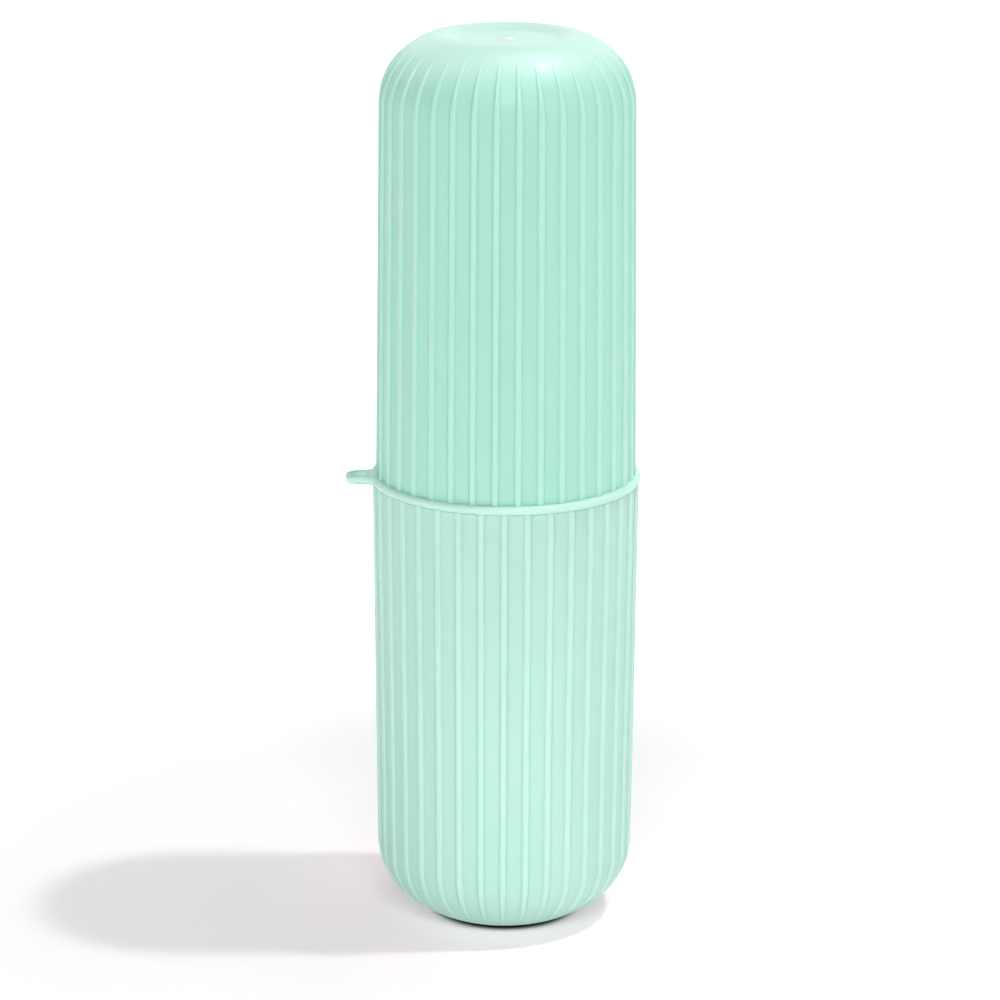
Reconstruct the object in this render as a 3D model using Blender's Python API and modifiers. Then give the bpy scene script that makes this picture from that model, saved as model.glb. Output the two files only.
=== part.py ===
"""Travel toothbrush case: ribbed cup, collar pressed into its mouth, and ribbed lid that lifts off.

The case stands on its foot with the origin under its axis. The hanging loop points along -X.
"""

import math

import bmesh
import bpy

# Driving dimensions of the case, in metres
CUP_HEIGHT = 0.10525
CUP_MOUTH_RADIUS = 0.03042
LID_HEIGHT = 0.10215
LID_STEP_IN = 0.00072
LID_MOUTH_RADIUS = CUP_MOUTH_RADIUS - LID_STEP_IN
SEAT_GAP = 0.0003
DRAFT_SHARE = 0.0105

# Ribs, the same on both shells
RIB_COUNT = 36
RIB_HEIGHT = 0.00055
RIB_ROOT_DEPTH = 0.0004
RIB_BASE_WIDTH = 0.0018
RIB_TOP_WIDTH = 0.0012

# Cup
CUP_WALL = 0.0016
CUP_FLOOR = 0.0020
CUP_CORNER_HEIGHT = 0.0170
CUP_CORNER_PULL_SHARE = 0.49
CUP_FOOT_RADIUS = 0.0120
CUP_RIB_TAPER_SHARES = (1.0, 1.0, 0.85, 0.6, 0.2)

# Lid
LID_WALL = 0.0015
LID_ROOF = 0.0016
LID_CORNER_HEIGHT = 0.0153
LID_CORNER_PULL_SHARE = 0.50
LID_LIP_RADIUS = 0.0153
LID_DISH_RADIUS = 0.0122
LID_DISH_DEPTH = 0.0012
LID_GATE_RADIUS = 0.0010
LID_GATE_HEIGHT = 0.0003
LID_RIB_TAPER_SHARES = (1.0, 1.0, 0.9, 0.7, 0.15)
LID_TURN_DEGREES = 0.85

# Collar: a flange with the hanging loop, a neck above it and a spigot below it
COLLAR_OVERHANG = 0.00038
COLLAR_FLANGE_RADIUS = CUP_MOUTH_RADIUS + RIB_HEIGHT + COLLAR_OVERHANG
COLLAR_FLANGE_THICKNESS = 0.0020
COLLAR_EDGE_ROUND = 0.0003
COLLAR_NECK_HEIGHT = 0.0160
COLLAR_NECK_WALL = 0.0013
COLLAR_SPIGOT_DEPTH = 0.0100
COLLAR_SPIGOT_WALL = 0.0013
COLLAR_LEAD_IN = 0.0006
GRIP_RIB_COUNT = 6
GRIP_RIB_HEIGHT_SHARE = 0.5
GRIP_RIB_WIDTH = 0.0012
GRIP_RIB_LENGTH = 0.0100

# Hanging loop, an outline in plan that starts inside the flange
LOOP_REACH = 0.0059
LOOP_TIP_HALF_WIDTH = 0.0031
LOOP_TIP_ROUND = 0.0018
LOOP_ROOT_HALF_WIDTH = 0.0045
LOOP_FLARE_LENGTH = 0.0040
LOOP_SLOT_LENGTH = 0.0040
LOOP_SLOT_WIDTH = 0.0036
LOOP_SLOT_ROUND = 0.0015
LOOP_TIP_RIM = 0.0015

# Facets and solver
TURN_STEPS = 72
CORNER_STEPS = 6
ROUND_STEPS = 4
OVERRUN = 0.001
WELD = 0.00001

# Facet angle over which an edge stays sharp
SHARP_DEGREES = 35

# Plastic
PLASTIC_ROUGHNESS = 0.42
CUP_COLOUR = (0.50, 0.85, 0.72, 1.0)
LID_COLOUR = (0.47, 0.83, 0.70, 1.0)
COLLAR_COLOUR = (0.56, 0.88, 0.77, 1.0)


def remove_old_objects():
    for thing in list(bpy.data.objects):
        bpy.data.objects.remove(thing, do_unlink=True)


def new_collection(name):
    collection = bpy.data.collections.new(name)
    bpy.context.scene.collection.children.link(collection)
    return collection


def plastic(name, colour):
    material = bpy.data.materials.new(name)
    material.use_nodes = True
    shader = material.node_tree.nodes["Principled BSDF"]
    shader.inputs["Base Color"].default_value = colour
    shader.inputs["Roughness"].default_value = PLASTIC_ROUGHNESS
    shader.inputs["Metallic"].default_value = 0
    return material


def place(thing, collection, material=None, hidden=False):
    collection.objects.link(thing)
    if material:
        thing.data.materials.append(material)
    if hidden:
        thing.hide_render = True
        thing.display_type = "WIRE"
    return thing


def shade_round(thing):
    thing.data.shade_smooth()
    thing.data.set_sharp_from_angle(angle=math.radians(SHARP_DEGREES))


def add_boolean(thing, other, operation):
    boolean = thing.modifiers.new(other.name, "BOOLEAN")
    boolean.object = other
    boolean.operation = operation
    boolean.solver = "EXACT"


def turned(name, profile, collection, material=None, hidden=False):
    """Turn an (radius, height) outline about Z; it runs down its outer side, top to bottom."""
    mesh = bpy.data.meshes.new(name)
    closed = profile[0][0] > 0
    last = len(profile) - 1
    edges = [(index, index + 1) for index in range(last)]
    if closed:
        edges.append((last, 0))
    mesh.from_pydata([(radius, 0, height) for radius, height in profile], edges, [])
    thing = bpy.data.objects.new(name, mesh)
    place(thing, collection, material, hidden)
    screw = thing.modifiers.new("Turn", "SCREW")
    screw.axis = "Z"
    screw.angle = math.tau
    screw.steps = TURN_STEPS
    screw.render_steps = TURN_STEPS
    screw.use_merge_vertices = True
    screw.merge_threshold = WELD
    weld = thing.modifiers.new("Weld", "WELD")
    weld.merge_threshold = WELD
    return thing


def corner_curve(start, end, pull_share, steps):
    """Cubic from an upright wall to a flat end; each handle is a share of its own side."""
    (start_radius, start_height), (end_radius, end_height) = start, end
    rise = end_height - start_height
    reach = start_radius - end_radius
    handles = (
        start,
        (start_radius - DRAFT_SHARE * abs(rise) * pull_share, start_height + rise * pull_share),
        (end_radius + reach * pull_share, end_height),
        end,
    )
    points = []
    for step in range(steps + 1):
        t = step / steps
        weights = ((1 - t) ** 3, 3 * (1 - t) ** 2 * t, 3 * (1 - t) * t * t, t ** 3)
        radius = sum(weight * handle[0] for weight, handle in zip(weights, handles))
        height = sum(weight * handle[1] for weight, handle in zip(weights, handles))
        points.append((radius, height))
    return points


def shell_side(mouth_radius, wall_height, end_radius, end_height, pull_share):
    """One side of a shell, from beyond its mouth at height zero to its closed end."""
    start_radius = mouth_radius - DRAFT_SHARE * wall_height
    corner = corner_curve((start_radius, wall_height), (end_radius, end_height), pull_share, CORNER_STEPS)
    below_mouth = (mouth_radius + DRAFT_SHARE * OVERRUN, -OVERRUN)
    return [below_mouth] + corner


def path_curve(name, points, radii, section, collection):
    """A poly curve with a flat cross-section; radii narrow the section along the curve."""
    curve = bpy.data.curves.new(name, "CURVE")
    curve.dimensions = "3D"
    curve.twist_mode = "Z_UP"
    curve.bevel_mode = "OBJECT"
    curve.bevel_object = section
    curve.use_fill_caps = True
    spline = curve.splines.new("POLY")
    spline.points.add(len(points) - 1)
    for point, (radius, height), scale in zip(spline.points, points, radii):
        point.co = (radius, 0, height, 1)
        point.radius = scale
    thing = bpy.data.objects.new(name, curve)
    return place(thing, collection, hidden=True)


def section_curve(name, points, collection):
    """A closed flat outline that serves as the cross-section of a rib."""
    curve = bpy.data.curves.new(name, "CURVE")
    curve.dimensions = "2D"
    curve.fill_mode = "NONE"
    spline = curve.splines.new("POLY")
    spline.points.add(len(points) - 1)
    for point, (across, out) in zip(spline.points, points):
        point.co = (across, out, 0, 1)
    spline.use_cyclic_u = True
    thing = bpy.data.objects.new(name, curve)
    return place(thing, collection, hidden=True)


def made_mesh(thing, collection):
    """Replace a curve by its mesh, with the loose caps welded."""
    bpy.context.view_layer.update()
    evaluated = thing.evaluated_get(bpy.context.evaluated_depsgraph_get())
    mesh = bpy.data.meshes.new_from_object(evaluated)
    shape = bmesh.new()
    shape.from_mesh(mesh)
    bmesh.ops.remove_doubles(shape, verts=shape.verts, dist=WELD)
    bmesh.ops.recalc_face_normals(shape, faces=shape.faces)
    shape.to_mesh(mesh)
    shape.free()
    name = thing.name
    result = bpy.data.objects.new(name + "_mesh", mesh)
    result.matrix_world = thing.matrix_world.copy()
    bpy.data.objects.remove(thing, do_unlink=True)
    return place(result, collection, hidden=True)


def ring_of(thing, count, cutters):
    """Repeat a hidden mesh about the Z axis with an Array that turns by one pitch."""
    pitch = bpy.data.objects.new(thing.name + "_pitch", None)
    pitch.rotation_euler.z = math.tau / count
    pitch.parent = thing
    cutters.objects.link(pitch)
    array = thing.modifiers.new("Ring", "ARRAY")
    array.count = count
    array.use_relative_offset = False
    array.use_object_offset = True
    array.offset_object = pitch
    return thing


def rib_section(name, cutters):
    half_base = RIB_BASE_WIDTH / 2
    half_top = RIB_TOP_WIDTH / 2
    slope = (half_base - half_top) / RIB_HEIGHT
    half_root = half_base + slope * RIB_ROOT_DEPTH
    outline = (
        (-half_root, -RIB_ROOT_DEPTH),
        (half_root, -RIB_ROOT_DEPTH),
        (half_top, RIB_HEIGHT),
        (-half_top, RIB_HEIGHT),
    )
    return section_curve(name, outline, cutters)


def shell_ribs(name, side, taper_shares, cutters):
    """Ribs that follow the outer side and fade to points on the corner."""
    section = rib_section(name + "_section", cutters)
    straight = side[:2]
    bend = side[2:2 + len(taper_shares) - 1]
    radii = (1.0,) + tuple(taper_shares)
    path = path_curve(name, straight + bend, radii, section, cutters)
    ribs = ring_of(made_mesh(path, cutters), RIB_COUNT, cutters)
    bpy.data.objects.remove(section, do_unlink=True)
    return ribs


def mouth_trimmer(name, mouth_radius, cutters):
    """Disc that cuts shell and ribs square at the mouth, at height zero."""
    reach = mouth_radius + RIB_HEIGHT + OVERRUN
    depth = OVERRUN + OVERRUN
    profile = ((0, 0), (reach, 0), (reach, -depth), (0, -depth))
    return turned(name, profile, cutters, hidden=True)


def ribbed_shell(name, outer, inner, crown, taper_shares, collection, cutters, material):
    """Shell with its mouth at height zero and its closed end above; crown closes the outer side."""
    profile = crown + outer[::-1] + inner + [(0, inner[-1][1])]
    shell = turned(name, profile, collection, material)
    ribs = shell_ribs(name + "_rib", outer, taper_shares, cutters)
    trimmer = mouth_trimmer(name + "_mouth_cutter", outer[0][0], cutters)
    ribs.parent = shell
    trimmer.parent = shell
    add_boolean(shell, ribs, "UNION")
    add_boolean(shell, trimmer, "DIFFERENCE")
    return shell


def make_cup(collection, cutters):
    """Cup, modelled mouth down and turned over onto its foot, with a valley in line with the loop."""
    wall_height = CUP_HEIGHT - CUP_CORNER_HEIGHT
    outer = shell_side(
        CUP_MOUTH_RADIUS, wall_height, CUP_FOOT_RADIUS, CUP_HEIGHT, CUP_CORNER_PULL_SHARE
    )
    inner = shell_side(
        CUP_MOUTH_RADIUS - CUP_WALL,
        wall_height,
        CUP_FOOT_RADIUS - CUP_WALL,
        CUP_HEIGHT - CUP_FLOOR,
        CUP_CORNER_PULL_SHARE,
    )
    crown = [(0, CUP_HEIGHT)]
    material = plastic("cup_plastic", CUP_COLOUR)
    cup = ribbed_shell(
        "cup", outer, inner, crown, CUP_RIB_TAPER_SHARES, collection, cutters, material
    )
    cup.location.z = CUP_HEIGHT
    cup.rotation_euler.x = math.pi
    cup.rotation_euler.z = math.pi / RIB_COUNT
    return cup


def make_lid(collection, cutters):
    """Lid with a shallow dish and its gate mark on top, seated over the collar's neck."""
    wall_height = LID_HEIGHT - LID_CORNER_HEIGHT
    dish_floor = LID_HEIGHT - LID_DISH_DEPTH
    outer = shell_side(
        LID_MOUTH_RADIUS, wall_height, LID_LIP_RADIUS, LID_HEIGHT, LID_CORNER_PULL_SHARE
    )
    inner = shell_side(
        LID_MOUTH_RADIUS - LID_WALL,
        wall_height,
        LID_LIP_RADIUS - LID_WALL,
        dish_floor - LID_ROOF,
        LID_CORNER_PULL_SHARE,
    )
    dish_slope_middle = ((LID_LIP_RADIUS + LID_DISH_RADIUS) / 2, dish_floor + LID_DISH_DEPTH / 2)
    crown = [
        (0, dish_floor + LID_GATE_HEIGHT),
        (LID_GATE_RADIUS / 2, dish_floor + LID_GATE_HEIGHT),
        (LID_GATE_RADIUS, dish_floor),
        (LID_DISH_RADIUS, dish_floor),
        dish_slope_middle,
    ]
    material = plastic("lid_plastic", LID_COLOUR)
    lid = ribbed_shell(
        "lid", outer, inner, crown, LID_RIB_TAPER_SHARES, collection, cutters, material
    )
    lid.location.z = CUP_HEIGHT + SEAT_GAP + COLLAR_FLANGE_THICKNESS + SEAT_GAP
    lid.rotation_euler.z = math.radians(LID_TURN_DEGREES)
    return lid


def rounded(centre_x, centre_y, radius, start_degrees, end_degrees):
    """Points of an arc in plan."""
    points = []
    for step in range(ROUND_STEPS + 1):
        angle = math.radians(start_degrees + (end_degrees - start_degrees) * step / ROUND_STEPS)
        points.append((centre_x + radius * math.cos(angle), centre_y + radius * math.sin(angle)))
    return points


def loop_edge():
    """Half of the loop's outline in plan, from the flange's rim to the loop's tip, at +Y."""
    root_x = -math.sqrt(COLLAR_FLANGE_RADIUS ** 2 - LOOP_ROOT_HALF_WIDTH ** 2)
    tip_x = -COLLAR_FLANGE_RADIUS - LOOP_REACH
    flare_drop = LOOP_ROOT_HALF_WIDTH - LOOP_TIP_HALF_WIDTH
    flare = []
    for step in range(ROUND_STEPS + 1):
        t = step / ROUND_STEPS
        drop = flare_drop * (1 - (1 - t) ** 2)
        flare.append((root_x - LOOP_FLARE_LENGTH * t, LOOP_ROOT_HALF_WIDTH - drop))
    tip = rounded(
        tip_x + LOOP_TIP_ROUND, LOOP_TIP_HALF_WIDTH - LOOP_TIP_ROUND, LOOP_TIP_ROUND, 90, 180
    )
    return flare + tip


def flange_outline():
    """Flange rim and loop as one outline, anticlockwise from the loop's lower root."""
    upper = loop_edge()
    lower = [(x, -y) for x, y in reversed(upper)]
    half_angle = math.asin(LOOP_ROOT_HALF_WIDTH / COLLAR_FLANGE_RADIUS)
    rim = []
    for step in range(1, TURN_STEPS):
        angle = -math.pi + half_angle + (math.tau - 2 * half_angle) * step / TURN_STEPS
        rim.append((COLLAR_FLANGE_RADIUS * math.cos(angle), COLLAR_FLANGE_RADIUS * math.sin(angle)))
    return upper + lower + rim


def slot_outline():
    """Rounded slot that a cord passes through."""
    outer_x = -COLLAR_FLANGE_RADIUS - LOOP_REACH + LOOP_TIP_RIM + LOOP_SLOT_ROUND
    inner_x = outer_x + LOOP_SLOT_LENGTH - 2 * LOOP_SLOT_ROUND
    half = LOOP_SLOT_WIDTH / 2 - LOOP_SLOT_ROUND
    return (
        rounded(inner_x, half, LOOP_SLOT_ROUND, 0, 90)
        + rounded(outer_x, half, LOOP_SLOT_ROUND, 90, 180)
        + rounded(outer_x, -half, LOOP_SLOT_ROUND, 180, 270)
        + rounded(inner_x, -half, LOOP_SLOT_ROUND, 270, 360)
    )


def circle_outline(radius):
    points = []
    for step in range(TURN_STEPS):
        angle = math.tau * step / TURN_STEPS
        points.append((radius * math.cos(angle), radius * math.sin(angle)))
    return points


def flat_plate(name, outlines, thickness, edge_round, cutters):
    """Filled plan outline with holes, made into a plate about height zero with its edges broken."""
    curve = bpy.data.curves.new(name, "CURVE")
    curve.dimensions = "2D"
    curve.fill_mode = "BOTH"
    curve.extrude = thickness / 2 - edge_round
    curve.bevel_depth = edge_round
    curve.bevel_resolution = 0
    curve.offset = -edge_round
    for outline in outlines:
        spline = curve.splines.new("POLY")
        spline.points.add(len(outline) - 1)
        for point, (x, y) in zip(spline.points, outline):
            point.co = (x, y, 0, 1)
        spline.use_cyclic_u = True
    thing = bpy.data.objects.new(name, curve)
    place(thing, cutters, hidden=True)
    return made_mesh(thing, cutters)


def sleeve_profile():
    """Neck and spigot in one turned wall, stepped inside the flange, whose underside is at zero."""
    neck_foot_radius = LID_MOUTH_RADIUS - LID_WALL - SEAT_GAP
    neck_top = COLLAR_FLANGE_THICKNESS + COLLAR_NECK_HEIGHT
    neck_top_radius = neck_foot_radius - DRAFT_SHARE * COLLAR_NECK_HEIGHT
    neck_bore = neck_top_radius - COLLAR_NECK_WALL
    spigot_radius = CUP_MOUTH_RADIUS - CUP_WALL - SEAT_GAP
    spigot_end_radius = spigot_radius - DRAFT_SHARE * COLLAR_SPIGOT_DEPTH
    spigot_bore = spigot_end_radius - COLLAR_SPIGOT_WALL
    middle = COLLAR_FLANGE_THICKNESS / 2
    return [
        (neck_top_radius - COLLAR_LEAD_IN, neck_top),
        (neck_top_radius, neck_top - COLLAR_LEAD_IN),
        (neck_foot_radius, middle),
        (spigot_radius, middle),
        (spigot_end_radius, COLLAR_LEAD_IN - COLLAR_SPIGOT_DEPTH),
        (spigot_end_radius - COLLAR_LEAD_IN, -COLLAR_SPIGOT_DEPTH),
        (spigot_bore, -COLLAR_SPIGOT_DEPTH),
        (spigot_bore, 0),
        (neck_bore, middle),
        (neck_bore, neck_top),
    ]


def grip_ribs(cutters):
    """Low upright ribs round the neck that hold the lid by friction."""
    neck_radius = LID_MOUTH_RADIUS - LID_WALL - SEAT_GAP
    bury = COLLAR_NECK_WALL / 2
    height = SEAT_GAP * GRIP_RIB_HEIGHT_SHARE
    bpy.ops.mesh.primitive_cube_add(size=1)
    rib = bpy.context.active_object
    rib.name = "grip_rib"
    rib.scale = (bury + height, GRIP_RIB_WIDTH, GRIP_RIB_LENGTH)
    rise = COLLAR_NECK_HEIGHT - COLLAR_LEAD_IN - COLLAR_LEAD_IN - GRIP_RIB_LENGTH / 2
    rib.location.x = neck_radius - DRAFT_SHARE * rise + (height - bury) / 2
    rib.location.z = COLLAR_FLANGE_THICKNESS + rise
    rib.rotation_euler.y = -math.atan(DRAFT_SHARE)
    bpy.ops.object.transform_apply(location=True, rotation=True, scale=True)
    for collection in list(rib.users_collection):
        collection.objects.unlink(rib)
    place(rib, cutters, hidden=True)
    return ring_of(rib, GRIP_RIB_COUNT, cutters)


def make_collar(collection, cutters):
    """Collar: flange and loop plate joined to the turned neck and spigot."""
    plate_bore = LID_MOUTH_RADIUS - LID_WALL - SEAT_GAP - COLLAR_NECK_WALL / 2
    plate = flat_plate(
        "flange_plate",
        (flange_outline(), slot_outline(), circle_outline(plate_bore)),
        COLLAR_FLANGE_THICKNESS,
        COLLAR_EDGE_ROUND,
        cutters,
    )
    plate.location.z = COLLAR_FLANGE_THICKNESS / 2
    ribs = grip_ribs(cutters)
    collar = turned("collar", sleeve_profile(), collection, plastic("collar_plastic", COLLAR_COLOUR))
    plate.parent = collar
    ribs.parent = collar
    add_boolean(collar, plate, "UNION")
    add_boolean(collar, ribs, "UNION")
    collar.location.z = CUP_HEIGHT + SEAT_GAP
    return collar


def main():
    remove_old_objects()
    case = new_collection("toothbrush_case")
    cutters = new_collection("cutters")
    pieces = [make_cup(case, cutters), make_collar(case, cutters), make_lid(case, cutters)]
    bpy.context.view_layer.update()
    for piece in pieces:
        shade_round(piece)


main()
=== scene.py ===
"""Looks of the travel toothbrush case: cup, collar and lid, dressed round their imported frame."""

import math

import bmesh
import bpy
from mathutils import Matrix, Vector


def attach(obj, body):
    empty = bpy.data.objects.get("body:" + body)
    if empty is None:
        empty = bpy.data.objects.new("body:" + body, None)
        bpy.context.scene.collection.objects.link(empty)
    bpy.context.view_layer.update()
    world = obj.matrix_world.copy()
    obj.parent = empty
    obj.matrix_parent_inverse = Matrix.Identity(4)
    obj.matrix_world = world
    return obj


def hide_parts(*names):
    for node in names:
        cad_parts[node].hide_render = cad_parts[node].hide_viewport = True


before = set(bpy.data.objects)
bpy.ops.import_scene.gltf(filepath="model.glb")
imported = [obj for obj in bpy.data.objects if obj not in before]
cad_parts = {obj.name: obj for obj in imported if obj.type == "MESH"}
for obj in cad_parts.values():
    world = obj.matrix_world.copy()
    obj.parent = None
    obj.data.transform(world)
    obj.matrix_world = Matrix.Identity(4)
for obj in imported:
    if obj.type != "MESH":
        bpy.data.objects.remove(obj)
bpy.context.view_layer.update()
scene = bpy.context.scene


# Camera. A long portrait lens stands a little above the lid and looks down at the case, so the
# sides stay nearly upright and the dished top shows as a thin ellipse.
CAMERA_PLACE = (-0.0734, -0.9329, 0.3705)
CAMERA_YAW = 0.0771
CAMERA_PITCH = 0.2810
CAMERA_ROLL = 0.0041
CAMERA_LENS_MM = 150.54
SENSOR_WIDTH_MM = 36.0
CAMERA_CLIP_START = 0.01

forward = Vector((
    math.sin(CAMERA_YAW) * math.cos(CAMERA_PITCH),
    math.cos(CAMERA_YAW) * math.cos(CAMERA_PITCH),
    -math.sin(CAMERA_PITCH),
))
level_right = Vector((math.cos(CAMERA_YAW), -math.sin(CAMERA_YAW), 0))
level_up = level_right.cross(forward)
camera_right = level_right * math.cos(CAMERA_ROLL) + level_up * math.sin(CAMERA_ROLL)
camera_up = level_up * math.cos(CAMERA_ROLL) - level_right * math.sin(CAMERA_ROLL)
camera = bpy.data.objects.new("camera", bpy.data.cameras.new("camera"))
camera.data.lens = CAMERA_LENS_MM
camera.data.sensor_width = SENSOR_WIDTH_MM
camera.data.clip_start = CAMERA_CLIP_START
turn = Matrix((camera_right, camera_up, -forward)).transposed()
camera.matrix_world = Matrix.Translation(CAMERA_PLACE) @ turn.to_4x4()
scene.collection.objects.link(camera)
scene.camera = camera
scene.view_settings.view_transform = "Standard"


# Cup, the lower half. It is one injection-moulded shell of mint polypropylene with a rounded foot.
# Thirty-six upright ribs stand on its wall and run out to points on the foot's corner.
CUP_TOP = 0.10549
CUP_MOUTH_RADIUS = 0.03042
CUP_WALL = 0.0016
CUP_FLOOR = 0.0020
CUP_CORNER_HEIGHT = 0.0170
CUP_CORNER_PULL_SHARE = 0.49
CUP_FOOT_RADIUS = 0.0120
CUP_FOOT_RECESS = 0.0003
CUP_RIM_ROUND = 0.00035
CUP_TURN = math.radians(5)
# The cup's colours are paler than the lid's: painted light, standing in for the floor's bounce
# light on the lower half.
CUP_COLOURS = ((0.46, 0.765, 0.65), (0.535, 0.82, 0.715), (0.41, 0.73, 0.61))
CUP_GATE_RADIUS = 0.0009
# Rings of the foot: shares of its radius and of its recess, and whether the ribs' columns go on.
CUP_FOOT_RINGS = ((0, 1, False), (0.5, 1, False), (0.8, 1, True), (0.86, 0.5, True),
                  (0.92, 0, True))
WALL_DRAFT_SHARE = 0.0105
RIB_COUNT = 36
RIB_HEIGHT = 0.00055
RIB_BASE_WIDTH = 0.0018
RIB_TOP_WIDTH = 0.0008
# Where a rib runs out: share of the corner, and the rib's shares of width and height there.
RIB_RUN_OUT_SHARES = ((0, 1, 1), (0.17, 0.96, 0.97), (0.33, 0.85, 0.85), (0.45, 0.68, 0.62),
                      (0.56, 0.46, 0.36), (0.64, 0.26, 0.14), (0.70, 0.12, 0))
# Places across a rib, counted in halves of its base width from its middle line; the last two bound
# the painted shade at the ribs' feet.
RIB_SKIRT_END = 1.15
RIB_FOOT_SHADE_START = 0.32
RIB_FOOT_SHADE_FULL = 0.06
FINE_COLUMNS = (0, 0.3, 0.52, 0.6, 0.68, 0.76, 0.84, 0.92, 1.0, 1.08, 1.2, 1.5, 2)
PLAIN_COLUMNS = (0, 2)
SIDE_ROW_SHARES = (0.85, 0.7, 0.5, 0.3, 0.15, 0.04)
BORE_ROW_SHARES = (0.06, 0.35, 0.7)
OUTER_CORNER_STEPS = 30
INNER_CORNER_STEPS = 12
OUTER_RIM_STEPS = 4
INNER_RIM_STEPS = 3
RIM_RIB_FALL_SHARE = 0.12
BAY_VALUES = ("radius", "height", "lean_out", "lean_up", "across", "width_share", "height_share")
WELD = 0.0000004
# Plastic: each noise has its scale, its detail and its stretch, and each range where it starts
# and ends.
FLOW_NOISE = (90, 3, (1, 1, 0.14))
FLOW_RANGE = (0.35, 0.7)
RUB_NOISE = (260, 4, (1, 1, 0.35))
RUB_RANGE = (0.3, 0.75)
RUB_SHARE = 0.75
GRAIN_NOISE = (3600, 2, (1, 1, 1))
WAVE_NOISE = (700, 2, (1, 1, 1))
WAVE_HEIGHT = 2.5
SPECK_SCALE = 170
SPECK_EDGE_RANGE = (0.034, 0.02)
SPECK_RARE_RANGE = (0.86, 0.9)
GATE_EDGE_SHARE = 1.25
GRAIN_DEPTH = 0.000004
GRAIN_STRENGTH = 0.35
PLASTIC_FINISH = {
    "Speck Colour": (0.16, 0.34, 0.29, 1),
    "Gate Painted Highlight Colour": (0.90, 0.98, 0.95, 1),
    "Painted Top Light Colour": (0.575, 0.89, 0.78, 1),
    "Flow Strength": 0.18,
    "Speck Strength": 0.7,
    "Gloss Low": 0.38,
    "Gloss High": 0.50,
}
PLASTIC_BODY = {
    "IOR": 1.49,
    "Specular IOR Level": 0.72,
    "Subsurface Weight": 0.25,
    "Subsurface Radius": (0.6, 1.0, 0.85),
    "Subsurface Scale": 0.0012,
}
# Heights of the painted paler top that no piece reaches, for a piece with no painted light on top.
ABOVE_ALL = (1.0, 2.0)


def new_material(name):
    """A material with an empty node tree."""
    material = bpy.data.materials.new(name)
    material.use_nodes = True
    material.node_tree.nodes.clear()
    return material


def add_node(tree, kind, values=(), **settings):
    """A node with its settings and its input values, each a number, a name or another socket."""
    node = tree.nodes.new(kind)
    for setting, value in settings.items():
        setattr(node, setting, value)
    for socket, value in dict(values).items():
        if isinstance(value, bpy.types.NodeSocket):
            tree.links.new(value, node.inputs[socket])
        else:
            node.inputs[socket].default_value = value
    return node


def math_of(tree, operation, *values):
    """The result of a Math node on numbers or sockets."""
    return add_node(tree, "ShaderNodeMath", enumerate(values), operation=operation).outputs[0]


def smooth_ramp(tree, value, start, end, low=0.0, high=1.0):
    """A smooth step from low to high as the value goes from start to end."""
    return add_node(tree, "ShaderNodeMapRange", {
        "Value": value, "From Min": start, "From Max": end, "To Min": low, "To Max": high,
    }, interpolation_type="SMOOTHSTEP").outputs["Result"]


def mixed_colour(tree, share, first, second):
    """The first colour where the share is 0 and the second where it is 1."""
    return add_node(tree, "ShaderNodeMix", {0: share, 6: first, 7: second},
                    data_type="RGBA").outputs[2]


def corner_rows(start, end, pull_share, steps):
    """Rows (share, radius, height) round a corner, from an upright wall to a flat end."""
    (start_radius, start_height), (end_radius, end_height) = start, end
    rise = end_height - start_height
    reach = start_radius - end_radius
    pulled_radius = start_radius - WALL_DRAFT_SHARE * abs(rise) * pull_share
    handles = (
        start,
        (pulled_radius, start_height + rise * pull_share),
        (end_radius + reach * pull_share, end_height),
        end,
    )
    rows = []
    for step in range(steps + 1):
        t = step / steps
        weights = ((1 - t) ** 3, 3 * (1 - t) ** 2 * t, 3 * (1 - t) * t * t, t ** 3)
        radius = sum(weight * handle[0] for weight, handle in zip(weights, handles))
        height = sum(weight * handle[1] for weight, handle in zip(weights, handles))
        rows.append((t, radius, height))
    return rows


def run_out(shares, t):
    """Width and height shares of a rib at share t of the corner."""
    for (t0, width0, height0), (t1, width1, height1) in zip(shares, shares[1:]):
        if t <= t1:
            mix = (t - t0) / (t1 - t0)
            return width0 + (width1 - width0) * mix, height0 + (height1 - height0) * mix
    return shares[-1][1], 0


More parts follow.
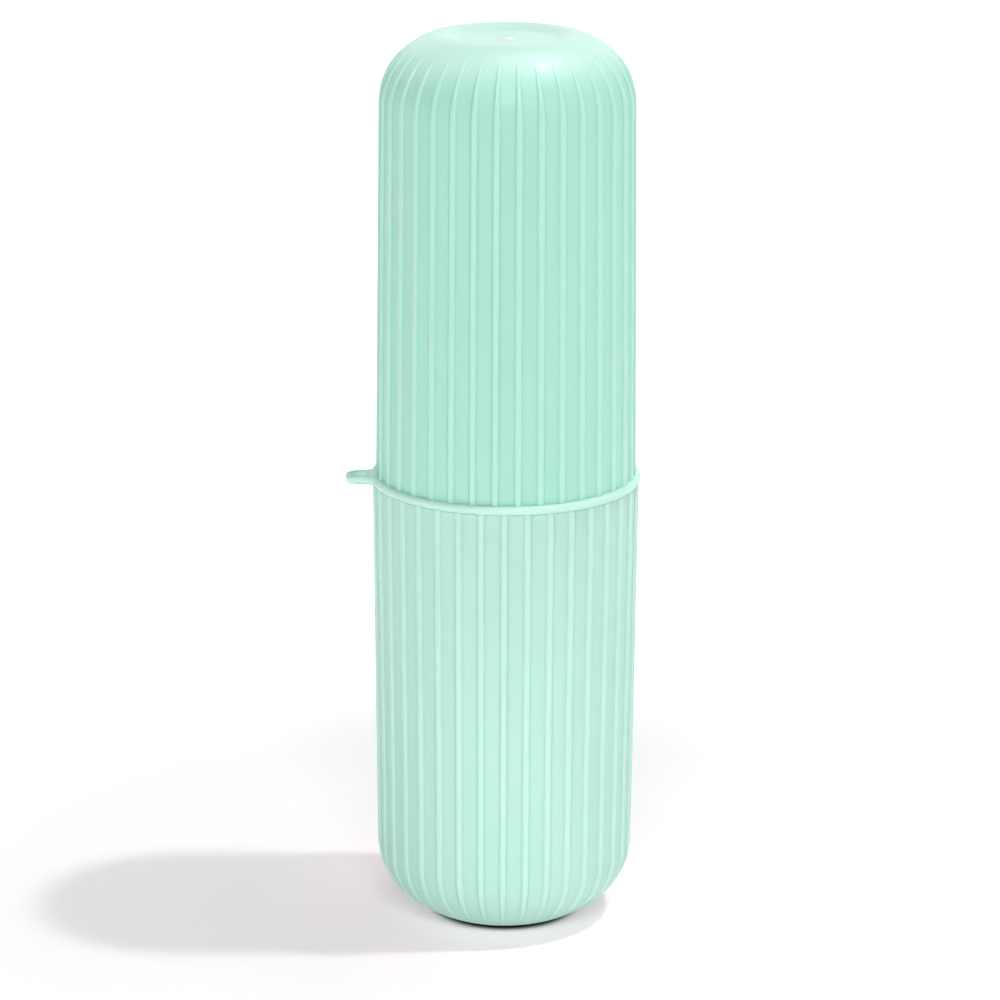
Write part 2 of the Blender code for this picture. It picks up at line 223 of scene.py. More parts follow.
def shell_rows(size):
    """Rows (radius, height, width share, height share, fine) from the closed end's centre outside,
    down the ribbed side, round the mouth's rim and up inside, with the mouth at height zero."""
    wall_top = size["height"] - size["corner_height"]
    wall_radius = size["mouth_radius"] - WALL_DRAFT_SHARE * wall_top
    corner = corner_rows(
        (wall_radius, wall_top), (size["end_radius"], size["height"]), size["pull_share"],
        OUTER_CORNER_STEPS,
    )
    rows = [(radius, height, 1, 0, fine) for radius, height, fine in size["crown"]]
    for t, radius, height in reversed(corner):
        width, lift = run_out(size["run_out_shares"], t)
        rows.append((radius, height, width, lift, True))
    rim = size["rim_round"]
    for share in SIDE_ROW_SHARES:
        height = wall_top * share
        rows.append((size["mouth_radius"] - WALL_DRAFT_SHARE * height, height, 1, 1, True))
    for step in range(OUTER_RIM_STEPS + 1):
        angle = math.pi / 2 * step / OUTER_RIM_STEPS
        radius = size["mouth_radius"] - rim * (1 - math.cos(angle))
        height = rim * (1 - math.sin(angle))
        lift = 1 - RIM_RIB_FALL_SHARE * (1 - math.cos(angle))
        rows.append((radius, height, 1, lift, True))
    bore = size["mouth_radius"] - size["wall"]
    rows.append((bore + rim, 0, 1, 0, True))
    for step in range(1, INNER_RIM_STEPS + 1):
        angle = math.pi / 2 * step / INNER_RIM_STEPS
        rows.append((bore + rim * (1 - math.sin(angle)), rim * (1 - math.cos(angle)), 1, 0, True))
    for share in BORE_ROW_SHARES:
        height = wall_top * share
        rows.append((bore - WALL_DRAFT_SHARE * height, height, 1, 0, False))
    inner_start = (bore - WALL_DRAFT_SHARE * wall_top, wall_top)
    inner_end = (size["end_radius"] - size["wall"], size["inner_height"])
    for _, radius, height in corner_rows(
        inner_start, inner_end, size["pull_share"], INNER_CORNER_STEPS
    ):
        rows.append((radius, height, 1, 0, False))
    rows.append((inner_end[0] / 2, size["inner_height"], 1, 0, False))
    rows.append((0, size["inner_height"], 1, 0, False))
    return rows


def bay_mesh(name, rows, base, facing):
    """One bay of a shell, a rib with half a valley on each side, as rows of points that carry
    where they go: radius, height, outward lean, place across the rib, and the rib's shares."""
    strip = bmesh.new()
    layers = {key: strip.verts.layers.float.new(key) for key in BAY_VALUES}
    lines = []
    for index, (radius, height, width, lift, fine) in enumerate(rows):
        before = rows[max(index - 1, 0)]
        after = rows[min(index + 1, len(rows) - 1)]
        along = Vector((after[0] - before[0], after[1] - before[1])).normalized()
        columns = FINE_COLUMNS if fine else PLAIN_COLUMNS
        columns = [-value for value in reversed(columns[1:])] + list(columns)
        line = []
        for across in columns:
            point = strip.verts.new((across * RIB_BASE_WIDTH, 0, height))
            values = (
                radius, base + facing * height, -along.y, facing * along.x, across, width, lift,
            )
            for key, value in zip(BAY_VALUES, values):
                point[layers[key]] = value
            line.append(point)
        lines.append(line)
    for upper, lower in zip(lines, lines[1:]):
        if len(upper) == len(lower):
            for left in range(len(upper) - 1):
                strip.faces.new((upper[left], upper[left + 1], lower[left + 1], lower[left]))
        else:
            fine, plain = (upper, lower) if len(upper) > len(lower) else (lower, upper)
            middle = len(fine) // 2
            for part, (start, end) in enumerate(((0, middle), (middle, len(fine) - 1))):
                fan = plain[part]
                for left in range(start, end):
                    strip.faces.new((fine[left], fine[left + 1], fan))
                strip.faces.new((fine[end], plain[part + 1], fan))
    mesh = bpy.data.meshes.new(name)
    strip.to_mesh(mesh)
    strip.free()
    return mesh


def ribbed_shell_tree():
    """Rule for a ribbed shell: bends a bay round the axis, raises its rib, repeats it, welds it."""
    tree = bpy.data.node_groups.new("ribbed_shell", "GeometryNodeTree")
    face = tree.interface
    face.new_socket("Geometry", in_out="INPUT", socket_type="NodeSocketGeometry")
    face.new_socket("Rib Count", in_out="INPUT", socket_type="NodeSocketInt")
    for name in ("Rib Height", "Rib Base Width", "Rib Top Width", "First Rib Angle"):
        face.new_socket(name, in_out="INPUT", socket_type="NodeSocketFloat")
    face.new_socket("Material", in_out="INPUT", socket_type="NodeSocketMaterial")
    face.new_socket("Geometry", in_out="OUTPUT", socket_type="NodeSocketGeometry")
    given = tree.nodes.new("NodeGroupInput").outputs
    result = tree.nodes.new("NodeGroupOutput")

    def carried(name):
        node = add_node(tree, "GeometryNodeInputNamedAttribute", {"Name": name})
        return node.outputs["Attribute"]

    # Angle: the rib takes its own width, at most half of the bay, and the valley takes the rest.
    across = carried("across")
    half_pitch = math_of(tree, "DIVIDE", math.pi, given["Rib Count"])
    half_width = math_of(tree, "MULTIPLY", given["Rib Base Width"], carried("width_share"))
    half_width = math_of(tree, "MULTIPLY", half_width, 0.5)
    rib_angle = math_of(
        tree, "DIVIDE", half_width, math_of(tree, "MAXIMUM", carried("radius"), WELD)
    )
    rib_angle = math_of(tree, "MINIMUM", rib_angle, math_of(tree, "MULTIPLY", half_pitch, 0.5))
    side = math_of(tree, "ABSOLUTE", across)
    on_rib = math_of(tree, "MINIMUM", side, 1)
    in_valley = math_of(tree, "MAXIMUM", math_of(tree, "SUBTRACT", side, 1), 0)
    valley_angle = math_of(tree, "SUBTRACT", half_pitch, rib_angle)
    angle = math_of(tree, "MULTIPLY_ADD", on_rib, rib_angle,
                    math_of(tree, "MULTIPLY", in_valley, valley_angle))
    angle = math_of(tree, "MULTIPLY", angle, math_of(tree, "SIGN", across))

    # Height: full over the rib's top, falling smoothly to its rounded foot.
    top_share = math_of(tree, "DIVIDE", given["Rib Top Width"], given["Rib Base Width"])
    rise = smooth_ramp(tree, side, RIB_SKIRT_END, top_share)
    share = math_of(tree, "MULTIPLY", rise, carried("height_share"))
    lift = math_of(tree, "MULTIPLY", share, given["Rib Height"])
    radius = math_of(tree, "MULTIPLY_ADD", lift, carried("lean_out"), carried("radius"))
    height = math_of(tree, "MULTIPLY_ADD", lift, carried("lean_up"), carried("height"))
    place = add_node(tree, "ShaderNodeCombineXYZ", {
        "X": math_of(tree, "MULTIPLY", radius, math_of(tree, "COSINE", angle)),
        "Y": math_of(tree, "MULTIPLY", radius, math_of(tree, "SINE", angle)),
        "Z": height,
    }).outputs["Vector"]
    marked = add_node(tree, "GeometryNodeStoreNamedAttribute", {
        "Geometry": given["Geometry"], "Name": "rib", "Value": share,
    }, data_type="FLOAT", domain="POINT").outputs["Geometry"]
    # Painted shade at the rib's feet, darkest where it meets the valley, stored for the material.
    from_edge = math_of(tree, "ABSOLUTE", math_of(tree, "SUBTRACT", side, 1))
    foot = smooth_ramp(tree, from_edge, RIB_FOOT_SHADE_START, RIB_FOOT_SHADE_FULL)
    marked = add_node(tree, "GeometryNodeStoreNamedAttribute", {
        "Geometry": marked, "Name": "painted_shade_rib_feet",
        "Value": math_of(tree, "MULTIPLY", foot, carried("height_share")),
    }, data_type="FLOAT", domain="POINT").outputs["Geometry"]
    bay = add_node(tree, "GeometryNodeSetPosition", {"Geometry": marked, "Position": place})

    # Ring of bays, made real and welded along their seams.
    points = add_node(tree, "GeometryNodePoints", {"Count": given["Rib Count"]}).outputs[0]
    index = add_node(tree, "GeometryNodeInputIndex").outputs["Index"]
    turn = math_of(tree, "MULTIPLY", index, math_of(tree, "MULTIPLY", half_pitch, 2))
    turn = math_of(tree, "ADD", turn, given["First Rib Angle"])
    turned = add_node(tree, "FunctionNodeEulerToRotation", {
        "Euler": add_node(tree, "ShaderNodeCombineXYZ", {"Z": turn}).outputs["Vector"],
    })
    ring = add_node(tree, "GeometryNodeInstanceOnPoints", {
        "Points": points,
        "Instance": bay.outputs["Geometry"],
        "Rotation": turned.outputs["Rotation"],
    })
    real = add_node(tree, "GeometryNodeRealizeInstances", {"Geometry": ring.outputs["Instances"]})
    whole = add_node(tree, "GeometryNodeMergeByDistance", {
        "Geometry": real.outputs["Geometry"], "Distance": WELD,
    })
    coloured = add_node(tree, "GeometryNodeSetMaterial", {
        "Geometry": whole.outputs["Geometry"], "Material": given["Material"],
    })
    tree.links.new(coloured.outputs["Geometry"], result.inputs["Geometry"])
    return tree


ribbed_shell = ribbed_shell_tree()


def ribbed_piece(name, rows, base, facing, first_rib, material):
    """A plain closed mesh made by the rule from one bay."""
    maker = bpy.data.objects.new(name + "_bay", bay_mesh(name + "_bay", rows, base, facing))
    scene.collection.objects.link(maker)
    rule = maker.modifiers.new("Ribs", "NODES")
    rule.node_group = ribbed_shell
    values = {
        "Rib Count": RIB_COUNT,
        "Rib Height": RIB_HEIGHT,
        "Rib Base Width": RIB_BASE_WIDTH,
        "Rib Top Width": RIB_TOP_WIDTH,
        "First Rib Angle": first_rib,
        "Material": material,
    }
    for socket in ribbed_shell.interface.items_tree:
        if socket.in_out == "INPUT" and socket.name in values:
            rule[socket.identifier] = values[socket.name]
    bpy.context.view_layer.update()
    made = maker.evaluated_get(bpy.context.evaluated_depsgraph_get())
    mesh = bpy.data.meshes.new_from_object(made)
    mesh.name = name
    bpy.data.objects.remove(maker, do_unlink=True)
    shape = bmesh.new()
    shape.from_mesh(mesh)
    bmesh.ops.dissolve_degenerate(shape, dist=WELD, edges=shape.edges)
    bmesh.ops.recalc_face_normals(shape, faces=shape.faces)
    shape.to_mesh(mesh)
    shape.free()
    for key in BAY_VALUES:
        mesh.attributes.remove(mesh.attributes[key])
    mesh.shade_smooth()
    piece = bpy.data.objects.new(name, mesh)
    scene.collection.objects.link(piece)
    return piece


def moulded_plastic_group():
    """Satin polypropylene: painted light over the ribs' tops and painted shade at their feet, with
    faint flow marks along the wall, sparse moulded-in specks, and the fine grain of an eroded
    mould."""
    tree = bpy.data.node_groups.new("moulded_plastic", "ShaderNodeTree")
    face = tree.interface
    for name, kind in (
        ("Place", "NodeSocketVector"),
        ("Plastic Colour", "NodeSocketColor"),
        ("Painted Light Colour Of Ribs", "NodeSocketColor"),
        ("Painted Shade Colour Of Rib Feet", "NodeSocketColor"),
        ("Speck Colour", "NodeSocketColor"),
        ("Gate Painted Highlight Colour", "NodeSocketColor"),
        ("Painted Top Light Colour", "NodeSocketColor"),
        ("Rib", "NodeSocketFloat"),
        ("Painted Shade Of Rib Feet", "NodeSocketFloat"),
        ("Gate Radius", "NodeSocketFloat"),
        ("Painted Top Light Start", "NodeSocketFloat"),
        ("Painted Top Light End", "NodeSocketFloat"),
        ("Flow Strength", "NodeSocketFloat"),
        ("Speck Strength", "NodeSocketFloat"),
        ("Gloss Low", "NodeSocketFloat"),
        ("Gloss High", "NodeSocketFloat"),
    ):
        face.new_socket(name, in_out="INPUT", socket_type=kind)
    for name, kind in (("Colour", "NodeSocketColor"), ("Roughness", "NodeSocketFloat"),
                       ("Height", "NodeSocketFloat")):
        face.new_socket(name, in_out="OUTPUT", socket_type=kind)
    given = tree.nodes.new("NodeGroupInput").outputs
    result = tree.nodes.new("NodeGroupOutput")

    def noise(scale, detail, stretch):
        place = add_node(tree, "ShaderNodeMapping", {"Vector": given["Place"], "Scale": stretch})
        return add_node(tree, "ShaderNodeTexNoise", {
            "Vector": place.outputs["Vector"], "Scale": scale, "Detail": detail,
        }).outputs["Fac"]

    # Painted light over the ribs' tops, painted shade at their feet, flow marks, and the crown
    # painted paler as if lit from above.
    colour = mixed_colour(tree, given["Rib"], given["Plastic Colour"], given["Painted Light Colour Of Ribs"])
    colour = mixed_colour(tree, given["Painted Shade Of Rib Feet"], colour, given["Painted Shade Colour Of Rib Feet"])
    flow = smooth_ramp(tree, noise(*FLOW_NOISE), *FLOW_RANGE)
    flow = math_of(tree, "MULTIPLY", flow, given["Flow Strength"])
    colour = mixed_colour(tree, flow, colour, given["Painted Light Colour Of Ribs"])
    # Painted light: the top is painted paler, standing in for the stronger light from above.
    upward = add_node(tree, "ShaderNodeSeparateXYZ", {"Vector": given["Place"]}).outputs["Z"]
    crown = smooth_ramp(tree, upward, given["Painted Top Light Start"], given["Painted Top Light End"])
    colour = mixed_colour(tree, crown, colour, given["Painted Top Light Colour"])

    # Gate mark on the axis, painted near white: a painted highlight on its nub.
    across = add_node(tree, "ShaderNodeVectorMath", {0: given["Place"], 1: (1, 1, 0)},
                      operation="MULTIPLY").outputs["Vector"]
    away = add_node(tree, "ShaderNodeVectorMath", {0: across}, operation="LENGTH").outputs["Value"]
    gate_edge = math_of(tree, "MULTIPLY", given["Gate Radius"], GATE_EDGE_SHARE)
    gate = smooth_ramp(tree, away, gate_edge, given["Gate Radius"])
    colour = mixed_colour(tree, gate, colour, given["Gate Painted Highlight Colour"])

    # Specks: a dot in the few cells whose own colour is bright.
    specks = add_node(tree, "ShaderNodeTexVoronoi", {
        "Vector": given["Place"], "Scale": SPECK_SCALE,
    }, feature="F1", distance="EUCLIDEAN").outputs
    dot = smooth_ramp(tree, specks["Distance"], *SPECK_EDGE_RANGE)
    chance = add_node(tree, "ShaderNodeSeparateColor", {"Color": specks["Color"]}).outputs[0]
    rare = smooth_ramp(tree, chance, *SPECK_RARE_RANGE)
    spot = math_of(tree, "MULTIPLY", math_of(tree, "MULTIPLY", dot, rare), given["Speck Strength"])
    colour = mixed_colour(tree, spot, colour, given["Speck Colour"])

    # Gloss and grain.
    grain = noise(*GRAIN_NOISE)
    rub = smooth_ramp(tree, noise(*RUB_NOISE), *RUB_RANGE)
    rub = math_of(tree, "MULTIPLY_ADD", rub, RUB_SHARE,
                  math_of(tree, "MULTIPLY", grain, 1 - RUB_SHARE))
    rough = add_node(tree, "ShaderNodeMapRange", {
        "Value": rub, "To Min": given["Gloss Low"], "To Max": given["Gloss High"],
    }).outputs["Result"]
    height = math_of(tree, "MULTIPLY_ADD", noise(*WAVE_NOISE), WAVE_HEIGHT, grain)
    tree.links.new(colour, result.inputs["Colour"])
    tree.links.new(rough, result.inputs["Roughness"])
    tree.links.new(height, result.inputs["Height"])
    return tree


moulded_plastic = moulded_plastic_group()


def plastic(name, colours, gate_radius=0.0, crown=ABOVE_ALL):
    """Material of one moulded piece, lit a little way into its wall as polypropylene is. Its
    colours are the wall's, the ribs' tops with painted light, and the ribs' feet with painted
    shade."""
    material = new_material(name)
    tree = material.node_tree
    wall, ribs, feet = colours
    # The crown heights bound a painted paler top, painted light from above.
    painted_top_light_start, painted_top_light_end = crown
    finish = add_node(tree, "ShaderNodeGroup", {
        "Place": add_node(tree, "ShaderNodeTexCoord").outputs["Object"],
        "Rib": add_node(tree, "ShaderNodeAttribute", attribute_name="rib").outputs["Fac"],
        "Painted Shade Of Rib Feet": add_node(tree, "ShaderNodeAttribute", attribute_name="painted_shade_rib_feet").outputs["Fac"],
        "Plastic Colour": (*wall, 1),
        "Painted Light Colour Of Ribs": (*ribs, 1),
        "Painted Shade Colour Of Rib Feet": (*feet, 1),
        "Gate Radius": gate_radius,
        "Painted Top Light Start": painted_top_light_start,
        "Painted Top Light End": painted_top_light_end,
        **PLASTIC_FINISH,
    }, node_tree=moulded_plastic)
    bump = add_node(tree, "ShaderNodeBump", {
        "Height": finish.outputs["Height"], "Distance": GRAIN_DEPTH, "Strength": GRAIN_STRENGTH,
    })
    shader = add_node(tree, "ShaderNodeBsdfPrincipled", {
        "Base Color": finish.outputs["Colour"],
        "Roughness": finish.outputs["Roughness"],
        "Normal": bump.outputs["Normal"],
        **PLASTIC_BODY,
    })
    output = add_node(tree, "ShaderNodeOutputMaterial")
    tree.links.new(shader.outputs["BSDF"], output.inputs["Surface"])
    return material


cup_plastic = plastic("cup_plastic", CUP_COLOURS, CUP_GATE_RADIUS)
cup = ribbed_piece(
    "cup_fine",
    shell_rows({
        "height": CUP_TOP,
        "mouth_radius": CUP_MOUTH_RADIUS,
        "wall": CUP_WALL,
        "corner_height": CUP_CORNER_HEIGHT,
        "end_radius": CUP_FOOT_RADIUS,
        "pull_share": CUP_CORNER_PULL_SHARE,
        "inner_height": CUP_TOP - CUP_FLOOR,
        "rim_round": CUP_RIM_ROUND,
        "run_out_shares": RIB_RUN_OUT_SHARES,
        "crown": [
            (CUP_FOOT_RADIUS * out, CUP_TOP - CUP_FOOT_RECESS * depth, fine)
            for out, depth, fine in CUP_FOOT_RINGS
        ],
    }),
    CUP_TOP,
    -1,
    CUP_TURN,
    cup_plastic,
)
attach(cup, "base")
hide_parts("cup")


# Collar. One moulding: a thin flange that shows as a ring between the halves, the hanging loop in
# line with it, a neck that the lid slides over, and a spigot that is pressed into the cup.
FLANGE_BOTTOM = 0.10555
FLANGE_THICKNESS = 0.0020
FLANGE_RADIUS = 0.03135
FLANGE_EDGE_ROUND = 0.0009
FLANGE_EDGE_STEPS = 3
FLANGE_STEPS = 240
LOOP_REACH = 0.0059
LOOP_TIP_HALF_WIDTH = 0.0031
LOOP_TIP_ROUND = 0.0018
LOOP_ROOT_HALF_WIDTH = 0.0045
LOOP_FLARE_LENGTH = 0.0040
SLOT_LENGTH = 0.0040
SLOT_WIDTH = 0.0036
SLOT_ROUND = 0.0015
LOOP_TIP_RIM = 0.0015
NECK_RADIUS = 0.0279
NECK_HEIGHT = 0.0160
NECK_WALL = 0.0013
SPIGOT_RADIUS = 0.02852
SPIGOT_DEPTH = 0.0100
LEAD_IN = 0.0006
# Points round the neck's top edge, outside then inside: lead-ins inward and down.
LEAD_IN_OUTSIDE = ((1, 0), (0.4, 0.2), (0.1, 0.6), (0, 1.3))
LEAD_IN_INSIDE = 0.3
SLEEVE_STEPS = 120
ARC_STEPS = 10
GRIP_RIB_COUNT = 6
GRIP_RIB_HEIGHT = 0.00015
GRIP_RIB_WIDTH = 0.0012
GRIP_RIB_LENGTH = 0.0100
COLLAR_COLOURS = ((0.58, 0.87, 0.77), (0.62, 0.89, 0.80), (0.47, 0.81, 0.69))
COLLAR_WELD = 0.000001
COLLAR_SHARP_ANGLE = math.radians(38)
FLAT_FACE_WEIGHT = 100


def arc(centre_x, centre_y, radius, start, end, steps=ARC_STEPS):
    """Points of an arc in plan, between angles in degrees."""
    angles = [math.radians(start + (end - start) * step / steps) for step in range(steps + 1)]
    return [(centre_x + radius * math.cos(a), centre_y + radius * math.sin(a)) for a in angles]


root_x = -math.sqrt(FLANGE_RADIUS ** 2 - LOOP_ROOT_HALF_WIDTH ** 2)
tip_x = -FLANGE_RADIUS - LOOP_REACH
flare_drop = LOOP_ROOT_HALF_WIDTH - LOOP_TIP_HALF_WIDTH
upper_edge = [
    (root_x - LOOP_FLARE_LENGTH * t, LOOP_ROOT_HALF_WIDTH - flare_drop * (1 - (1 - t) ** 2))
    for t in [step / ARC_STEPS for step in range(ARC_STEPS + 1)]
]
upper_edge += arc(
    tip_x + LOOP_TIP_ROUND, LOOP_TIP_HALF_WIDTH - LOOP_TIP_ROUND, LOOP_TIP_ROUND, 90, 180
)
half_angle = math.degrees(math.asin(LOOP_ROOT_HALF_WIDTH / FLANGE_RADIUS))
flange_rim = arc(0, 0, FLANGE_RADIUS, half_angle - 180, 180 - half_angle, FLANGE_STEPS)[1:-1]
flange_edge = upper_edge + [(x, -y) for x, y in reversed(upper_edge)] + flange_rim
slot_outer = tip_x + LOOP_TIP_RIM + SLOT_ROUND
slot_inner = slot_outer + SLOT_LENGTH - 2 * SLOT_ROUND
slot_half = SLOT_WIDTH / 2 - SLOT_ROUND
slot_edge = (
    arc(slot_inner, slot_half, SLOT_ROUND, 0, 90)
    + arc(slot_outer, slot_half, SLOT_ROUND, 90, 180)
    + arc(slot_outer, -slot_half, SLOT_ROUND, 180, 270)
    + arc(slot_inner, -slot_half, SLOT_ROUND, 270, 360)
)
plate_bore = arc(0, 0, NECK_RADIUS - NECK_WALL / 2, 0, 360, SLEEVE_STEPS)[:-1]


def mesh_of(thing):
    """The mesh of a curve or of an object with its modifiers applied; the object goes."""
    scene.collection.objects.link(thing)
    bpy.context.view_layer.update()
    made = thing.evaluated_get(bpy.context.evaluated_depsgraph_get())
    mesh = bpy.data.meshes.new_from_object(made)
    bpy.data.objects.remove(thing, do_unlink=True)
    return mesh


def flange_plate():
    """Flange and loop: their outline with its slot, filled and given rounded edges."""
    curve = bpy.data.curves.new("flange_plate", "CURVE")
    curve.dimensions = "2D"
    curve.fill_mode = "BOTH"
    curve.extrude = FLANGE_THICKNESS / 2 - FLANGE_EDGE_ROUND
    curve.bevel_depth = FLANGE_EDGE_ROUND
    curve.bevel_resolution = FLANGE_EDGE_STEPS
    curve.offset = -FLANGE_EDGE_ROUND
    for outline in (flange_edge, slot_edge, plate_bore):
        spline = curve.splines.new("POLY")
        spline.points.add(len(outline) - 1)
        for point, (x, y) in zip(spline.points, outline):
            point.co = (x, y, 0, 1)
        spline.use_cyclic_u = True
    mesh = mesh_of(bpy.data.objects.new("flange_plate", curve))
    mesh.transform(Matrix.Translation((0, 0, FLANGE_BOTTOM + FLANGE_THICKNESS / 2)))
    return mesh


def sleeve():
    """Neck and spigot, turned as one wall that steps inside the flange."""
    middle = FLANGE_BOTTOM + FLANGE_THICKNESS / 2
    neck_top = FLANGE_BOTTOM + FLANGE_THICKNESS + NECK_HEIGHT
    neck_end = NECK_RADIUS - WALL_DRAFT_SHARE * NECK_HEIGHT
    spigot_bottom = FLANGE_BOTTOM - SPIGOT_DEPTH
    spigot_end = SPIGOT_RADIUS - WALL_DRAFT_SHARE * SPIGOT_DEPTH
    profile = [
        (neck_end - LEAD_IN * inward, neck_top - LEAD_IN * down) for inward, down in LEAD_IN_OUTSIDE
    ] + [
        (NECK_RADIUS, middle),
        (SPIGOT_RADIUS, middle),
        (spigot_end, spigot_bottom + LEAD_IN),
        (spigot_end - LEAD_IN, spigot_bottom),
        (spigot_end - NECK_WALL, spigot_bottom),
        (spigot_end - NECK_WALL, FLANGE_BOTTOM),
        (neck_end - NECK_WALL, middle),
        (neck_end - NECK_WALL, neck_top - LEAD_IN * LEAD_IN_INSIDE),
        (neck_end - NECK_WALL + LEAD_IN * LEAD_IN_INSIDE, neck_top),
    ]
    shape = bmesh.new()
    rings = []
    for step in range(SLEEVE_STEPS):
        angle = math.tau * step / SLEEVE_STEPS
        rings.append([
            shape.verts.new((radius * math.cos(angle), radius * math.sin(angle), height))
            for radius, height in profile
        ])
    for index, ring in enumerate(rings):
        after = rings[(index + 1) % SLEEVE_STEPS]
        for low in range(len(profile)):
            high = (low + 1) % len(profile)
            shape.faces.new((ring[low], ring[high], after[high], after[low]))
    bmesh.ops.recalc_face_normals(shape, faces=shape.faces)
    mesh = bpy.data.meshes.new("collar_sleeve")
    shape.to_mesh(mesh)
    shape.free()
    return mesh


def grip_ribs():
    """Six low upright ribs near the neck's top that hold the lid by friction."""
    shape = bmesh.new()
    bury = NECK_WALL / 2
    rise = NECK_HEIGHT - 2 * LEAD_IN - GRIP_RIB_LENGTH / 2
    radius = NECK_RADIUS - WALL_DRAFT_SHARE * rise + (GRIP_RIB_HEIGHT - bury) / 2
    height = FLANGE_BOTTOM + FLANGE_THICKNESS + rise
    for index in range(GRIP_RIB_COUNT):
        place = (
            Matrix.Rotation(math.tau * index / GRIP_RIB_COUNT, 4, "Z")
            @ Matrix.Translation((radius, 0, height))
            @ Matrix.Rotation(-math.atan(WALL_DRAFT_SHARE), 4, "Y")
            @ Matrix.Diagonal((bury + GRIP_RIB_HEIGHT, GRIP_RIB_WIDTH, GRIP_RIB_LENGTH, 1))
        )
        bmesh.ops.create_cube(shape, size=1, matrix=place)
    mesh = bpy.data.meshes.new("grip_ribs")
    shape.to_mesh(mesh)
    shape.free()
    return mesh


collar_plastic = plastic("collar_plastic", COLLAR_COLOURS)
collar_parts = []
for mesh in (sleeve(), flange_plate(), grip_ribs()):
    shape = bmesh.new()
    shape.from_mesh(mesh)
    bmesh.ops.remove_doubles(shape, verts=shape.verts, dist=COLLAR_WELD)
    bmesh.ops.recalc_face_normals(shape, faces=shape.faces)
    shape.to_mesh(mesh)
    shape.free()
    collar_parts.append(bpy.data.objects.new(mesh.name, mesh))
collar_body, *added = collar_parts
for part in added:
    scene.collection.objects.link(part)
    union = collar_body.modifiers.new(part.name, "BOOLEAN")
    union.operation = "UNION"
    union.solver = "EXACT"
    union.object = part
collar_mesh = mesh_of(collar_body)
collar_mesh.name = "collar_fine"
for part in added:
    bpy.data.objects.remove(part, do_unlink=True)
collar_mesh.materials.clear()
collar_mesh.materials.append(collar_plastic)
collar_mesh.shade_smooth()
collar_mesh.set_sharp_from_angle(angle=COLLAR_SHARP_ANGLE)
collar = bpy.data.objects.new("collar_fine", collar_mesh)
scene.collection.objects.link(collar)
weigh = collar.modifiers.new("Flat faces", "WEIGHTED_NORMAL")
weigh.keep_sharp = True
weigh.weight = FLAT_FACE_WEIGHT
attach(collar, "base")
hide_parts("collar")


# Lid, the upper half. The same ribbed wall as the cup in a slightly smaller size, with the ribs
# running out on its shoulder, and a shallow dish on top that carries the mould's gate mark.
LID_MOUTH = 0.10756
LID_TOP = 0.2100
LID_HEIGHT = LID_TOP - LID_MOUTH
LID_MOUTH_RADIUS = 0.0297
LID_WALL = 0.0015
LID_CORNER_HEIGHT = 0.0153
LID_CORNER_PULL_SHARE = 0.50
LID_LIP_RADIUS = 0.0153
LID_DISH_RADIUS = 0.0110
LID_DISH_DEPTH = 0.0012
LID_ROOF = 0.0016
LID_RIM_ROUND = 0.0001
LID_TURN = math.radians(0.85)
LID_COLOURS = ((0.41, 0.77, 0.635), (0.485, 0.825, 0.70), (0.36, 0.735, 0.595))
# Heights over which the lid's top is painted paler, painted light from above.
LID_PAINTED_TOP_LIGHT = (LID_TOP - 0.0100, LID_TOP - 0.0020)
GATE_RADIUS = 0.0012
GATE_HEIGHT = 0.0003
GATE_WELL_RADIUS = 0.0028
GATE_WELL_DEPTH = 0.00008
# Rings of the gate mark: shares of its radius and height. Then the rings of its well and dish.
GATE_RINGS = ((0, 1), (0.35, 0.96), (0.65, 0.75), (0.85, 0.35), (1, 0.05))
GATE_WELL_START_SHARE = 1.3
GATE_WELL_END_SHARE = 1.1
DISH_PLAIN_SHARE = 0.6
DISH_FINE_SHARE = 0.93
DISH_EDGE_STEPS = 10
DISH_EDGE_SHIFT_SHARE = 0.06
LID_RUN_OUT_SHARES = ((0, 1, 1), (0.13, 0.86, 0.97), (0.36, 0.66, 0.8), (0.49, 0.45, 0.5),
                      (0.58, 0.26, 0.2), (0.65, 0.08, 0))

dish_floor = LID_HEIGHT - LID_DISH_DEPTH
dish_width = LID_LIP_RADIUS - LID_DISH_RADIUS
lid_crown = [
    (GATE_RADIUS * out, dish_floor + GATE_HEIGHT * up, False) for out, up in GATE_RINGS
] + [
    (GATE_RADIUS * GATE_WELL_START_SHARE, dish_floor - GATE_WELL_DEPTH, False),
    (GATE_WELL_RADIUS, dish_floor - GATE_WELL_DEPTH, False),
    (GATE_WELL_RADIUS * GATE_WELL_END_SHARE, dish_floor, False),
    (LID_DISH_RADIUS * DISH_PLAIN_SHARE, dish_floor, False),
    (LID_DISH_RADIUS * DISH_FINE_SHARE, dish_floor, True),
]
for step in range(1, DISH_EDGE_STEPS):
    t = step / DISH_EDGE_STEPS
    ease = t * t * (3 - 2 * t)
    radius = LID_DISH_RADIUS + dish_width * (t - DISH_EDGE_SHIFT_SHARE)
    lid_crown.append((radius, dish_floor + LID_DISH_DEPTH * ease, True))

lid_plastic = plastic("lid_plastic", LID_COLOURS, GATE_RADIUS, LID_PAINTED_TOP_LIGHT)
lid = ribbed_piece(
    "lid_fine",
    shell_rows({
        "height": LID_HEIGHT,
        "mouth_radius": LID_MOUTH_RADIUS,
        "wall": LID_WALL,
        "corner_height": LID_CORNER_HEIGHT,
        "end_radius": LID_LIP_RADIUS,
        "pull_share": LID_CORNER_PULL_SHARE,
        "inner_height": dish_floor - LID_ROOF,
        "rim_round": LID_RIM_ROUND,
        "run_out_shares": LID_RUN_OUT_SHARES,
        "crown": lid_crown,
    }),
    LID_MOUTH,
    1,
    LID_TURN,
    lid_plastic,
)
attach(lid, "lid")
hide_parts("lid")


